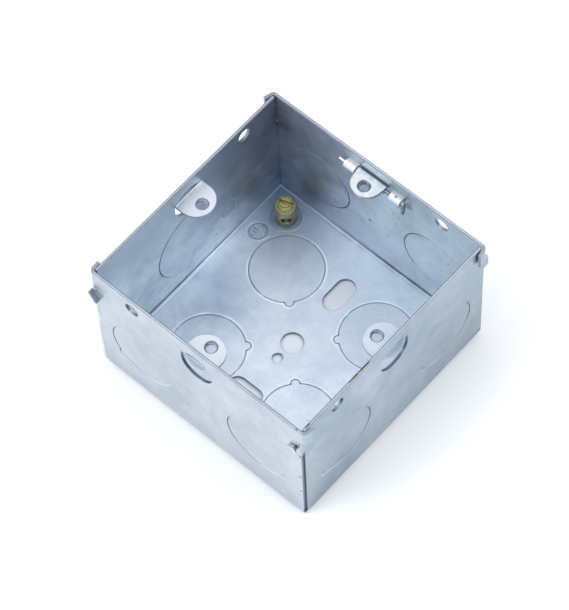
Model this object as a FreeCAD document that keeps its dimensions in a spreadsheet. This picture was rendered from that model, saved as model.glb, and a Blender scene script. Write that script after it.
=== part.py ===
import FreeCAD, Part
import math
import os
import Sketcher
from types import SimpleNamespace
from FreeCAD import Placement, Rotation, Vector

# Flush back box for one wiring accessory: a square box folded from one galvanised sheet,
# open at the top, with three fixed lugs, one lug that slides on a wire, and an earth terminal.
# The origin is the middle of the back, +Z points out of the open mouth, lengths are millimetres.
# The +X wall carries a fixed lug, and the +Y wall carries the sliding lug.

os.makedirs("parts", exist_ok=True)
doc = FreeCAD.newDocument("flush_back_box")

DRIVING_SIZES = (
    ("box_width", 72.0, "outside width and length of the folded box"),
    ("box_depth", 47.0, "outside height from the back to the rim"),
    ("sheet", 0.9, "thickness of the sheet"),
    ("base_bend", 0.4, "inside radius of the bends between back and walls"),
    ("seam_gap", 0.12, "open gap at the corner seams"),
    ("seam_lap", 0.45, "overlap of the -Y wall on the end of the +X wall below their tongue"),
    ("lug_hole_inset", 5.85, "distance of a fixed lug's screw hole from its wall's outside"),
    ("lug_drop", 5.3, "depth of the fixed lugs' top faces below the rim"),
    ("lug_width", 10.5, "width of a fixed lug"),
    ("lug_bend", 0.3, "inside radius of the bend at a fixed lug's root"),
    ("lug_side_gap", 0.1, "gap between a fixed lug and its opening on each side"),
    ("lug_beyond_hole", 3.2, "distance from a lug's screw hole to its rounded tip"),
    ("lug_hole_radius", 1.55, "radius of the tapped screw hole in a lug"),
    ("lug_hole_chamfer", 0.4, "chamfer round the top of a lug's screw hole"),
    ("collar_wall", 0.75, "wall of the drawn collar under a lug's screw hole"),
    ("collar_height", 0.8, "height of the drawn collar under a lug"),
    ("wall_hole_radius", 2.2, "radius of the small hole near the rim of each wall"),
    ("wall_hole_along", 22.2, "distance of the small hole from the middle of its wall"),
    ("wall_hole_drop", 3.9, "depth of the small hole's centre below the rim"),
    ("knockout_radius", 10.5, "radius of the 20 mm conduit knockouts"),
    ("knockout_notch", 1.3, "radius of the round notch on a knockout's edge"),
    ("shear_width", 0.22, "width of the sheared line round a knockout"),
    ("knockout_tie", 0.8, "width of the two ties that hold a knockout"),
    ("base_knockout_share", 0.225, "share of the box's width between centre lines and the back's knockouts"),
    ("wall_knockout_inset", 15.8, "distance of a wall's knockouts from the box's corner"),
    ("wall_knockout_height", 20.5, "height of a wall's knockouts above the back"),
    ("large_knockout_foot", 5.4, "height of the large conduit knockout's lowest point"),
    ("large_knockout_margin", 1.3, "metal between the large knockout and the lug opening above it"),
    ("centre_hole_radius", 3.25, "radius of the hole in the middle of the back"),
    ("pilot_hole_radius", 1.6, "radius of the small hole beside the middle"),
    ("pilot_hole_along", 6.1, "distance of the small hole from the middle"),
    ("slot_width", 6.0, "width of the two fixing slots in the back"),
    ("slot_length", 11.2, "length of the two fixing slots"),
    ("slot_along", 19.4, "distance of the fixing slots from the middle"),
    ("tab_height", 5.8, "height of the corner tabs below the rim"),
    ("tab_length", 2.2, "straight length of a corner tab past its bend"),
    ("tab_lean", 15.0, "degrees by which a corner tab stands away from its wall"),
    ("near_tab_lean", 6.0, "the same for the tab between the -X and -Y walls"),
    ("tab_bend", 0.6, "inside radius of a corner tab's bend"),
    ("tab_clearance", 0.1, "gap between a corner tab's root and its wall"),
    ("tab_wall_gap", 0.45, "gap between the wall that ends beside a corner tab and the wall that it meets"),
    ("tongue_height", 4.1, "height of the locking tongues"),
    ("tongue_drop", 8.0, "depth of the tongues' upper edges below the rim"),
    ("tongue_length", 2.6, "straight length of a folded locking tongue"),
    ("tongue_droop", -35.0, "degrees by which a folded tongue hangs down"),
    ("tongue_clearance", 0.15, "gap between a folded tongue and the wall it lies on"),
    ("tongue_reach", 1.8, "reach of the locking tongues that stand out past their wall"),
    ("twisted_neck", 0.3, "length of the twisted tongue before its twist"),
    ("tongue_twist", 29.0, "degrees by which the twisted tongue is turned"),
    ("rod_radius", 0.5, "radius of the wire that carries the sliding lug"),
    ("rod_stub", 2.2, "length of the wire past the loop on the -X side"),
    ("rod_leg", 2.9, "length of the wire's bent-down leg below its bend"),
    ("rod_bend", 0.8, "centre line radius of the wire's bend"),
    ("rod_lean", -10.0, "degrees by which the wire's leg stands away from the wall"),
    ("loop_length", 3.6, "length of each bridge loop along the wire"),
    ("loop_inner_end", 6.0, "distance from the wall's middle to the loops' near ends"),
    ("loop_wall", 0.77, "thickness of the sheet drawn round the wire"),
    ("loop_foot_wall", 0.32, "thickness of the sheet where a loop's feet meet the wall"),
    ("loop_clearance", 0.03, "gap between the wire and the loops"),
    ("punch_radius", 0.4, "radius of the punch mark that holds the wire"),
    ("slider_drop", 3.85, "depth of the sliding lug's top face below the rim"),
    ("slider_thickness", 1.2, "thickness of the sliding lug's plate"),
    ("slider_radius", 4.45, "radius of the sliding lug's round end"),
    ("slider_hole_inset", 5.0, "distance of the sliding lug's screw hole from its wall's outside"),
    ("slider_offset", -0.85, "place of the sliding lug along its wire as it rests"),
    ("eye_overhang", 0.25, "length of the rolled eye past each side of the plate"),
    ("eye_wall", 0.47, "metal between the eye's bore and its flat faces"),
    ("eye_clearance", 0.03, "running gap between the wire and the eye"),
    ("eye_corner", 0.5, "rounding of the eye's corner next to the wall"),
    ("eye_wall_gap", 0.22, "gap between the eye's flat back and the wall"),
    ("terminal_ahead", 10.8, "distance along X from the nearest knockout's middle to the terminal"),
    ("terminal_aside", 12.0, "distance along Y from the nearest knockout's middle to the terminal"),
    ("terminal_turn", -45.0, "degrees from +X to the terminal's wire hole"),
    ("boss_height", 0.5, "height of the raised seat under the earth terminal"),
    ("boss_radius", 4.6, "radius of the raised seat at the back's inner face"),
    ("boss_slope", 0.5, "amount by which the raised seat narrows to its top"),
    ("pillar_radius", 3.1, "radius of the terminal pillar"),
    ("pillar_height", 6.3, "height of the terminal pillar above its seat"),
    ("pillar_chamfer", 0.3, "chamfer at the pillar's top and foot"),
    ("tail_radius", 1.6, "radius of the pillar's riveted tail"),
    ("tail_clearance", 0.02, "gap between the tail and its hole"),
    ("rivet_radius", 2.6, "radius of the riveted head under the back"),
    ("rivet_thickness", 0.4, "thickness of the riveted head"),
    ("wire_hole_radius", 1.45, "radius of the terminal's wire hole"),
    ("wire_hole_height", 2.9, "height of the wire hole above the pillar's seat"),
    ("screw_radius", 1.9, "radius of the terminal screw's shank"),
    ("screw_clearance", 0.04, "gap between the shank and the pillar's tapped bore"),
    ("screw_raise", 0.2, "gap between the pillar and the screw's head"),
    ("screw_bite", 1.4, "depth of the shank inside the pillar"),
    ("head_radius", 2.45, "radius of the terminal screw's head"),
    ("head_height", 1.3, "height of the terminal screw's head"),
    ("head_chamfer", 0.35, "chamfer round the top of the head"),
    ("driver_slot_width", 0.8, "width of the screwdriver slot"),
    ("driver_slot_depth", 0.8, "depth of the screwdriver slot"),
    ("driver_slot_turn", 65.0, "degrees from the wire hole to the screwdriver slot"),
)
CUT_MARGIN = 2.0


class Size:
    """A length as a number, with the expression that gives the same length from the sheet."""

    def __init__(self, number, text=None):
        self.number = float(number)
        self.text = text if text else repr(float(number))

    def __add__(self, other):
        other = as_size(other)
        return Size(self.number + other.number, f"({self.text} + {other.text})")

    def __sub__(self, other):
        other = as_size(other)
        return Size(self.number - other.number, f"({self.text} - {other.text})")

    def __mul__(self, other):
        other = as_size(other)
        return Size(self.number * other.number, f"({self.text} * {other.text})")

    def __truediv__(self, other):
        other = as_size(other)
        return Size(self.number / other.number, f"({self.text} / {other.text})")

    def __neg__(self):
        return Size(-self.number, f"(0 - {self.text})")

    __radd__ = __add__


def as_size(value):
    return value if isinstance(value, Size) else Size(value)


def cosine_and_sine(degrees):
    """The cosine and sine of a driving angle."""
    angle = math.radians(degrees.number)
    return (Size(math.cos(angle), f"cos({degrees.text} * 1 deg)"),
            Size(math.sin(angle), f"sin({degrees.text} * 1 deg)"))


def fill_sheet():
    """Write the driving sizes into the spreadsheet, each under its own alias."""
    sheet = doc.addObject("Spreadsheet::Sheet", "sizes")
    named = {}
    for row, (alias, value, meaning) in enumerate(DRIVING_SIZES, start=1):
        sheet.set(f"A{row}", alias)
        sheet.set(f"B{row}", str(value))
        sheet.set(f"C{row}", meaning)
        sheet.setAlias(f"B{row}", alias)
        named[alias] = Size(value, f"sizes.{alias}")
    doc.recompute()
    return SimpleNamespace(**named)


dim = fill_sheet()

# Sizes that several pieces share, all worked out from the driving ones.
half_width = dim.box_width / 2
inner_half = half_width - dim.sheet
lug_top = dim.box_depth - dim.lug_drop
hole_along = half_width - dim.lug_hole_inset
lug_tip = hole_along - dim.lug_beyond_hole
window_base = lug_top - (inner_half + dim.sheet / 2 - lug_tip)
tab_base = dim.box_depth - dim.tab_height
eye_bore = dim.rod_radius + dim.eye_clearance
eye_half = eye_bore + dim.eye_wall
rod_y = inner_half - dim.eye_wall_gap - eye_half
slider_top = dim.box_depth - dim.slider_drop
slider_hole_along = half_width - dim.slider_hole_inset
rod_z = slider_top - eye_half
loop_bore = dim.rod_radius + dim.loop_clearance
loop_radius = loop_bore + dim.loop_wall
loop_foot = loop_bore + dim.loop_foot_wall
loop_outer_end = dim.loop_inner_end + dim.loop_length
base_knockout_along = dim.box_width * dim.base_knockout_share
large_knockout_radius = (window_base - dim.large_knockout_margin - dim.large_knockout_foot) / 2
tongue_base = dim.box_depth - dim.tongue_drop - dim.tongue_height
terminal_x = -base_knockout_along - dim.terminal_ahead
terminal_y = base_knockout_along + dim.terminal_aside
terminal_seat = dim.sheet + dim.boss_height
pillar_top = terminal_seat + dim.pillar_height


def bind(feature, name, value):
    feature.setExpression(name, as_size(value).text)


def place(feature, base, rotation=Rotation()):
    """Give a feature its rotation and a place that follows the sheet."""
    feature.Placement = Placement(Vector(), rotation)
    for axis, value in zip("xyz", base):
        bind(feature, f"Placement.Base.{axis}", value)


# Solids and booleans that follow the sheet.
def block(name, x_range, y_range, z_range):
    """A box between two values on each axis."""
    solid = doc.addObject("Part::Box", name)
    for side, (low, high) in zip(("Length", "Width", "Height"), (x_range, y_range, z_range)):
        bind(solid, side, as_size(high) - low)
    place(solid, (x_range[0], y_range[0], z_range[0]))
    return solid


ALONG_X = Rotation(Vector(0, 1, 0), 90)
ALONG_Y = Rotation(Vector(1, 0, 0), -90)
ALONG_Z = Rotation()


def cylinder(name, radius, length, base, rotation=ALONG_Z, sweep=360):
    """A cylinder, or a sector of one, from its base point along the rotated Z axis."""
    solid = doc.addObject("Part::Cylinder", name)
    bind(solid, "Radius", radius)
    bind(solid, "Height", length)
    bind(solid, "Angle", sweep)
    place(solid, base, rotation)
    return solid


def cone(name, lower_radius, upper_radius, height, base):
    solid = doc.addObject("Part::Cone", name)
    bind(solid, "Radius1", lower_radius)
    bind(solid, "Radius2", upper_radius)
    bind(solid, "Height", height)
    place(solid, base)
    return solid


def join(name, pieces):
    result = doc.addObject("Part::MultiFuse", name)
    result.Shapes = pieces
    result.Refine = True
    return result


def cut(name, base, tool):
    result = doc.addObject("Part::Cut", name)
    result.Base = base
    result.Tool = tool
    result.Refine = True
    return result


def turned(name, source, degrees):
    """The source's shape, turned about the box's own Z axis."""
    copy = doc.addObject("Part::Compound", name)
    copy.Links = [source]
    copy.Placement = Placement(Vector(), Rotation(Vector(0, 0, 1), degrees))
    return copy


def mirrored(name, source, normal):
    copy = doc.addObject("Part::Mirroring", name)
    copy.Source = source
    copy.Base = Vector()
    copy.Normal = normal
    return copy


# Sketch-based features that follow the sheet.
def new_body(name):
    body = doc.addObject("PartDesign::Body", name)
    body.Label = name
    return body


def new_sketch(body, name, plane, offset=0):
    """A sketch on one of the body's origin planes, moved along that plane's normal."""
    sketch = body.newObject("Sketcher::SketchObject", name)
    planes = {feature.Role: feature for feature in body.Origin.OriginFeatures}
    sketch.AttachmentSupport = [(planes[plane], "")]
    sketch.MapMode = "FlatFace"
    bind(sketch, "AttachmentOffset.Base.z", offset)
    return sketch


def pin_point(sketch, geometry, point, x, y):
    """Fix a point of the sketch at a place that follows the sheet."""
    for kind, value in (("DistanceX", as_size(x)), ("DistanceY", as_size(y))):
        index = sketch.addConstraint(Sketcher.Constraint(kind, -1, 1, geometry, point, value.number))
        sketch.setExpression(f"Constraints[{index}]", value.text)


def draw_circle(sketch, x, y, radius):
    centre = Vector(as_size(x).number, as_size(y).number, 0)
    index = sketch.addGeometry(Part.Circle(centre, Vector(0, 0, 1), radius.number))
    pin_point(sketch, index, 3, x, y)
    limit = sketch.addConstraint(Sketcher.Constraint("Radius", index, radius.number))
    sketch.setExpression(f"Constraints[{limit}]", radius.text)


def draw_polygon(sketch, points):
    """A closed outline of straight lines through the given points."""
    corners = [Vector(as_size(x).number, as_size(y).number, 0) for x, y in points]
    count = len(corners)
    for index in range(count):
        sketch.addGeometry(Part.LineSegment(corners[index], corners[(index + 1) % count]))
    for index in range(count):
        sketch.addConstraint(Sketcher.Constraint("Coincident", index, 2, (index + 1) % count, 1))
        pin_point(sketch, index, 1, *points[index])


def draw_rectangle(sketch, x_range, y_range):
    (left, right), (low, high) = x_range, y_range
    draw_polygon(sketch, ((left, low), (right, low), (right, high), (left, high)))


def draw_round_ended(sketch, middle, round_y, straight_y, radius):
    """An outline with a round end towards -Y and a straight end at straight_y."""
    left, right = middle - radius, middle + radius
    centre = Vector(middle.number, round_y.number, 0)
    start = Vector(left.number, round_y.number, 0)
    end = Vector(right.number, round_y.number, 0)
    far_left = Vector(left.number, straight_y.number, 0)
    far_right = Vector(right.number, straight_y.number, 0)
    whole = Part.Circle(centre, Vector(0, 0, 1), radius.number)
    arc = sketch.addGeometry(Part.ArcOfCircle(whole, math.pi, math.tau))
    lines = ((end, far_right), (far_right, far_left), (far_left, start))
    sides = [sketch.addGeometry(Part.LineSegment(*pair)) for pair in lines]
    sketch.addConstraint(Sketcher.Constraint("Coincident", arc, 2, sides[0], 1))
    sketch.addConstraint(Sketcher.Constraint("Coincident", sides[0], 2, sides[1], 1))
    sketch.addConstraint(Sketcher.Constraint("Coincident", sides[1], 2, sides[2], 1))
    sketch.addConstraint(Sketcher.Constraint("Coincident", sides[2], 2, arc, 1))
    pin_point(sketch, arc, 3, middle, round_y)
    pin_point(sketch, sides[0], 1, right, round_y)
    pin_point(sketch, sides[1], 1, right, straight_y)
    pin_point(sketch, sides[2], 1, left, straight_y)
    sketch.addConstraint(Sketcher.Constraint("Horizontal", arc, 3, arc, 1))


def add_pad(body, name, sketch, length, midplane=False):
    pad = body.newObject("PartDesign::Pad", name)
    pad.Profile = sketch
    pad.Midplane = midplane
    bind(pad, "Length", length)
    return pad


def add_pocket(body, name, sketch, length, midplane=False, reverse=False):
    pocket = body.newObject("PartDesign::Pocket", name)
    pocket.Profile = sketch
    pocket.Midplane = midplane
    pocket.Reversed = reverse
    bind(pocket, "Length", length)
    return pocket


def add_turned(body, name, sketch):
    """A solid of revolution about the sketch's vertical axis."""
    solid = body.newObject("PartDesign::Revolution", name)
    solid.Profile = sketch
    solid.ReferenceAxis = (sketch, ["V_Axis"])
    solid.Angle = 360
    return solid


def edges_where(shape, test):
    """Names of the shape's edges whose every vertex passes the test."""
    names = []
    for index, edge in enumerate(shape.Edges, start=1):
        if all(test(vertex.Point) for vertex in edge.Vertexes):
            names.append(f"Edge{index}")
    return names


# The folded tray: back, four walls and the rounded bends between them.
def build_tray():
    body = new_body("folded_tray")
    outline = new_sketch(body, "tray_outline", "XY_Plane")
    draw_rectangle(outline, (-half_width, half_width), (-half_width, half_width))
    add_pad(body, "tray_blank", outline, dim.box_depth)
    cavity = new_sketch(body, "tray_cavity", "XY_Plane", dim.sheet)
    draw_rectangle(cavity, (-inner_half, inner_half), (-inner_half, inner_half))
    hollow = add_pocket(body, "tray_hollow", cavity, dim.box_depth, reverse=True)
    doc.recompute()
    bends = body.newObject("PartDesign::Fillet", "outside_bends")
    bends.Base = (hollow, edges_where(hollow.Shape, lambda point: abs(point.z) < 0.001))
    bind(bends, "Radius", dim.base_bend + dim.sheet)
    doc.recompute()
    floor = dim.sheet.number
    edge = inner_half.number
    bends_inside = body.newObject("PartDesign::Fillet", "inside_bends")
    bends_inside.Base = (bends, edges_where(bends.Shape, lambda point: abs(point.z - floor) < 0.001
                                            and max(abs(point.x), abs(point.y)) < edge + 0.001))
    bind(bends_inside, "Radius", dim.base_bend)
    return body


# A fixed lug, lanced from the +X wall and folded inwards at its root.
def build_fixed_lug():
    half_lug = dim.lug_width / 2
    round_centre = lug_tip + half_lug
    root = inner_half - dim.lug_bend
    under = lug_top - dim.sheet
    plate = block("lug_plate", (round_centre, root), (-half_lug, half_lug), (under, lug_top))
    nose = cylinder("lug_nose", half_lug, dim.sheet, (round_centre, 0, under))
    collar_radius = dim.lug_hole_radius + dim.collar_wall
    collar_base = (hole_along, 0, under - dim.collar_height)
    collar = cylinder("lug_collar", collar_radius, dim.collar_height, collar_base)
    fold_turn = Rotation(Vector(1, 0, 0), -90)
    fold_base = (root, -half_lug, lug_top + dim.lug_bend)
    outer_radius = dim.lug_bend + dim.sheet
    fold_outside = cylinder("lug_fold_outside", outer_radius, dim.lug_width, fold_base, fold_turn, 90)
    fold_inside = cylinder("lug_fold_inside", dim.lug_bend, dim.lug_width, fold_base, fold_turn)
    fold = cut("lug_fold", fold_outside, fold_inside)
    drill_base = (hole_along, 0, lug_top - CUT_MARGIN * 2)
    drill = cylinder("lug_drill", dim.lug_hole_radius, CUT_MARGIN * 3, drill_base)
    wide = dim.lug_hole_radius + dim.lug_hole_chamfer
    chamfer = cone("lug_chamfer", dim.lug_hole_radius, wide, dim.lug_hole_chamfer,
                   (hole_along, 0, lug_top - dim.lug_hole_chamfer))
    metal = join("lug_metal", [plate, nose, collar, fold])
    return cut("fixed_lug", metal, join("lug_hole", [drill, chamfer]))


# The opening that the lug leaves in its wall, flat at the fold and round below.
def build_lug_opening():
    half_opening = dim.lug_width / 2 + dim.lug_side_gap
    round_height = window_base + half_opening
    through = (inner_half - CUT_MARGIN / 4, half_width + CUT_MARGIN)
    flat = block("lug_window", through, (-half_opening, half_opening), (round_height, lug_top + dim.lug_bend))
    length = through[1] - through[0]
    arch = cylinder("lug_window_round", half_opening, length, (through[0], 0, round_height), ALONG_X)
    return join("lug_opening", [flat, arch])


# A knockout: a disc sheared free along its edge, but for two ties, with a round notch on the edge.
def build_knockout(name, radius, centre, notch_way, to_wall):
    """The cutter for one knockout at centre, in the back or, with to_wall, in the +X wall."""
    half_shear = dim.shear_width / 2
    rotation = ALONG_X if to_wall else ALONG_Z
    depth = dim.sheet + CUT_MARGIN * 2
    normal = 0 if to_wall else 2
    spot = list(centre)
    spot[normal] = (inner_half if to_wall else Size(0)) - CUT_MARGIN
    notch = [as_size(spot[axis]) + radius * notch_way[axis] for axis in range(3)]
    edges = []
    for side, grow in (("outer", half_shear), ("inner", -half_shear)):
        disc = cylinder(f"{name}_{side}_disc", radius + grow, depth, spot, rotation)
        bump = cylinder(f"{name}_{side}_notch", dim.knockout_notch + grow, depth, notch, rotation)
        edges.append(join(f"{name}_{side}", [disc, bump]))
    ring = cut(f"{name}_ring", edges[0], edges[1])
    reach = [dim.knockout_tie / 2] * 3
    reach[1 if to_wall else 0] = radius + dim.knockout_notch
    spans = [(as_size(value) - far, as_size(value) + far) for value, far in zip(centre, reach)]
    spans[normal] = (spot[normal], spot[normal] + depth)
    return cut(name, ring, block(f"{name}_ties", *spans))


DIAGONAL = 0.5 ** 0.5


def build_back_cutters():
    """Every hole and knockout of the back."""
    centre = (base_knockout_along, base_knockout_along, 0)
    knockout = build_knockout("back_knockout", dim.knockout_radius, centre, (-DIAGONAL, -DIAGONAL, 0), False)
    cutters = [turned(f"back_knockout_{angle}", knockout, angle) for angle in (0, 90, 180, 270)]
    depth = dim.sheet + CUT_MARGIN * 2
    cutters.append(cylinder("centre_hole", dim.centre_hole_radius, depth, (0, 0, -CUT_MARGIN)))
    pilot_base = (0, -dim.pilot_hole_along, -CUT_MARGIN)
    cutters.append(cylinder("pilot_hole", dim.pilot_hole_radius, depth, pilot_base))
    half_slot = dim.slot_width / 2
    reach = dim.slot_length / 2 - half_slot
    levels = (-CUT_MARGIN, dim.sheet + CUT_MARGIN)
    for name, middle, along_x in (("upper_slot", dim.slot_along, False), ("lower_slot", -dim.slot_along, True)):
        if along_x:
            ends = ((-reach, middle), (reach, middle))
            flat = block(f"{name}_flat", (-reach, reach), (middle - half_slot, middle + half_slot), levels)
        else:
            ends = ((0, middle - reach), (0, middle + reach))
            flat = block(f"{name}_flat", (-half_slot, half_slot), (middle - reach, middle + reach), levels)
        rounds = [cylinder(f"{name}_end_{side}", half_slot, depth, (*end, -CUT_MARGIN))
                  for side, end in enumerate(ends)]
        cutters.append(join(name, [flat, *rounds]))
    return cutters


def build_knockout_pair(name, right_notch):
    """A wall's two knockouts. The left one's notch faces the corner, the right one's lies to the side given."""
    along, height = half_width - dim.wall_knockout_inset, dim.wall_knockout_height
    pair = []
    for side, sign, notch_side in (("left", -1, -1), ("right", 1, right_notch)):
        notch_way = (0, DIAGONAL * notch_side, -DIAGONAL)
        pair.append(build_knockout(f"{name}_{side}", dim.knockout_radius, (0, along * sign, height),
                                   notch_way, True))
    return join(name, pair)


def build_wall_cutters():
    """Every hole and knockout of the four walls, made on the +X wall and turned to the others."""
    pair = build_knockout_pair("wall_knockouts", 1)
    cutters = [turned(f"wall_knockouts_{angle}", pair, angle) for angle in (90, 270)]
    cutters.append(build_knockout_pair("near_wall_knockouts", -1))
    centre = (0, 0, dim.large_knockout_foot + large_knockout_radius)
    large = build_knockout("large_knockout", large_knockout_radius, centre, (0, -DIAGONAL, -DIAGONAL), True)
    cutters.append(turned("large_knockout_180", large, 180))
    base = (inner_half - CUT_MARGIN, -dim.wall_hole_along, dim.box_depth - dim.wall_hole_drop)
    hole = cylinder("wall_hole", dim.wall_hole_radius, dim.sheet + CUT_MARGIN * 2, base, ALONG_X)
    cutters.extend(turned(f"wall_hole_{angle}", hole, angle) for angle in (0, 90, 180, 270))
    opening = build_lug_opening()
    cutters.extend(turned(f"lug_opening_{angle}", opening, angle) for angle in (0, 180, 270))
    return cutters


# The corner where the +X and +Y walls meet. Below the tab the +X wall runs through to the corner.
# Beside the tab the +Y wall runs through, bends round the corner and ends as a tab on the +X wall.
def build_corner_cutter():
    edge = inner_half - dim.seam_gap
    beyond = half_width + CUT_MARGIN
    bend_x = half_width + dim.tab_clearance - dim.tab_bend
    above = dim.box_depth + CUT_MARGIN
    split = tab_base - dim.seam_gap
    wall_stop = inner_half - dim.tab_wall_gap
    shelf = block("seam_shelf", (edge, beyond), (inner_half, beyond), (split, tab_base))
    wall_end = block("seam_wall_end", (inner_half, beyond), (wall_stop, inner_half), (split, above))
    corner = block("seam_corner", (bend_x, beyond), (inner_half, beyond), (tab_base, above))
    return join("corner_cutter", [shelf, wall_end, corner])


def build_seam(name, base_height):
    """The narrow gap between the two walls, from the given height up to the tab."""
    across = (inner_half - dim.seam_gap, inner_half)
    return block(name, across, (inner_half, half_width + CUT_MARGIN), (base_height, tab_base))


def build_open_seam(seam_base):
    """The seam below the +X and -Y walls' tongue, where the -Y wall stops short of the corner."""
    beyond = half_width + CUT_MARGIN
    upright = (seam_base, tongue_base)
    gap = (-inner_half, dim.seam_gap - inner_half)
    notch = block("open_seam_notch", (inner_half + dim.seam_lap, beyond), (-beyond, -inner_half), upright)
    wall_end = block("open_seam_wall_end", (inner_half, beyond), gap, upright)
    return join("open_seam", [notch, wall_end])


def build_corner_tab(name, lean):
    """The tab on the end of the +Y wall, bent round the corner and standing away by its lean."""
    bend_x = half_width + dim.tab_clearance - dim.tab_bend
    bend_y = inner_half - dim.tab_bend
    turn = Rotation(Vector(0, 0, 1), lean.number)
    sweep = Size(90) - lean
    centre = (bend_x, bend_y, tab_base)
    outside = cylinder(f"{name}_outside", dim.tab_bend + dim.sheet, dim.tab_height, centre, turn, sweep)
    inside = cylinder(f"{name}_inside", dim.tab_bend, dim.tab_height, centre, turn)
    plate = doc.addObject("Part::Box", f"{name}_plate")
    bind(plate, "Length", dim.sheet)
    bind(plate, "Width", dim.tab_length)
    bind(plate, "Height", dim.tab_height)
    cosine, sine = cosine_and_sine(lean)
    start_x = bend_x + dim.tab_bend * cosine + dim.tab_length * sine
    start_y = bend_y + dim.tab_bend * sine - dim.tab_length * cosine
    place(plate, (start_x, start_y, tab_base), turn)
    return join(name, [cut(f"{name}_bend", outside, inside), plate])


# The locking tongues on the end of the +X wall, which pass round or beyond the +Y wall.
def build_tongue_plate(name, length, width, start, degrees, pivot_x, pivot_y):
    """A tongue's plate from start along X and from pivot_y along Y, turned about its middle line."""
    plate = doc.addObject("Part::Box", name)
    bind(plate, "Length", length)
    bind(plate, "Width", width)
    bind(plate, "Height", dim.tongue_height)
    cosine, sine = cosine_and_sine(degrees)
    half_height = dim.tongue_height / 2
    start_x = pivot_x + start * cosine - half_height * sine
    start_z = tongue_base + half_height - start * sine - half_height * cosine
    place(plate, (start_x, pivot_y, start_z), Rotation(Vector(0, 1, 0), degrees.number))
    return plate


def build_folded_tongue():
    """The tongue folded over the outside of the +Y wall, where it hangs down a little."""
    bend = dim.tongue_clearance
    centre = (inner_half - bend, half_width, tongue_base)
    outside = cylinder("folded_tongue_outside", bend + dim.sheet, dim.tongue_height, centre, ALONG_Z, 90)
    inside = cylinder("folded_tongue_inside", bend, dim.tongue_height, centre)
    plate = build_tongue_plate("folded_tongue_plate", dim.tongue_length, dim.sheet, -dim.tongue_length,
                               dim.tongue_droop, inner_half - bend, half_width + bend)
    return join("folded_tongue", [cut("folded_tongue_bend", outside, inside), plate])


def build_straight_tongue(name, reach):
    """The tongue left standing straight out past the +Y wall."""
    return block(name, (inner_half, half_width), (inner_half, half_width + reach),
                 (tongue_base, tongue_base + dim.tongue_height))


def build_twisted_tongue():
    """The tongue left standing out past the +Y wall and then twisted."""
    neck = build_straight_tongue("twisted_tongue_neck", dim.twisted_neck)
    plate = build_tongue_plate("twisted_tongue_plate", dim.sheet, dim.tongue_reach, -dim.sheet / 2,
                               dim.tongue_twist, inner_half, half_width)
    return join("twisted_tongue", [neck, plate])


# The bridge loops on the +Y wall, drawn inwards from the wall round the wire.
def build_loops():
    metal, bores = [], []
    for side, sign in (("left", -1), ("right", 1)):
        start = -loop_outer_end if sign < 0 else dim.loop_inner_end
        end = start + dim.loop_length
        crown = cylinder(f"loop_crown_{side}", loop_radius, dim.loop_length, (start, rod_y, rod_z), ALONG_X)
        feet = block(f"loop_feet_{side}", (start, end), (rod_y, half_width),
                     (rod_z - loop_foot, rod_z + loop_foot))
        bore = cylinder(f"loop_bore_{side}", loop_bore, dim.loop_length, (start, rod_y, rod_z), ALONG_X)
        slot = block(f"loop_slot_{side}", (start, end), (rod_y, half_width + CUT_MARGIN),
                     (rod_z - loop_bore, rod_z + loop_bore))
        metal.extend([crown, feet])
        bores.extend([bore, slot])
    middle = dim.loop_inner_end + dim.loop_length / 2
    punch = cone("punch_mark", Size(0.05), dim.punch_radius, dim.punch_radius,
                 (middle, rod_y, rod_z + loop_radius - dim.punch_radius * 0.8))
    bores.append(punch)
    return join("loop_metal", metal), join("loop_bores", bores)


# The raised seat under the earth terminal, with its recess and its hole for the riveted tail.
def build_terminal_seat():
    spot = (terminal_x, terminal_y)
    top_radius = dim.boss_radius - dim.boss_slope
    boss = cone("boss", dim.boss_radius, top_radius, dim.boss_height, (*spot, dim.sheet))
    recess_radius = dim.boss_radius - dim.sheet / 2
    recess = cone("boss_recess", recess_radius, recess_radius - dim.boss_slope, dim.boss_height, (*spot, 0))
    hole = cylinder("tail_hole", dim.tail_radius + dim.tail_clearance, terminal_seat + CUT_MARGIN, (*spot, 0))
    return boss, join("boss_cutter", [recess, hole])


def build_box_body():
    across_x = Vector(1, 0, 0)
    across_y = Vector(0, 1, 0)
    cutter = build_corner_cutter()
    seam_base = dim.base_bend + dim.sheet
    seam = build_seam("seam", seam_base)
    cutters = [cutter, seam, mirrored("short_seam_south", build_seam("short_seam", tongue_base), across_y)]
    for source in (cutter, seam):
        west = mirrored(f"{source.Name}_west", source, across_x)
        cutters += [west, mirrored(f"{source.Name}_far", west, across_y)]
    cutters += [mirrored("corner_cutter_south", cutter, across_y), build_open_seam(seam_base)]
    cutters += [*build_back_cutters(), *build_wall_cutters()]
    tab = build_corner_tab("corner_tab", dim.tab_lean)
    tabs = [
        tab,
        mirrored("corner_tab_west", tab, across_x),
        mirrored("corner_tab_south", tab, across_y),
        turned("near_corner_tab_turned", build_corner_tab("near_corner_tab", dim.near_tab_lean), 180),
    ]
    tray = cut("cut_tray", build_tray(), join("tray_cutters", cutters))
    lug = build_fixed_lug()
    lugs = [turned(f"fixed_lug_{angle}", lug, angle) for angle in (0, 180, 270)]
    folded = build_folded_tongue()
    tongues = [
        mirrored("folded_tongue_far", folded, across_x),
        mirrored("folded_tongue_near", folded, across_y),
        build_straight_tongue("straight_tongue", dim.tongue_reach),
        turned("twisted_tongue_near", build_twisted_tongue(), 180),
    ]
    loops, loop_bores = build_loops()
    boss, boss_cutter = build_terminal_seat()
    metal = join("box_metal", [tray, *lugs, *tabs, *tongues, loops, boss])
    body = cut("box_body", metal, join("box_bores", [loop_bores, boss_cutter]))
    body.Label = "box_body"
    return body


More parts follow.
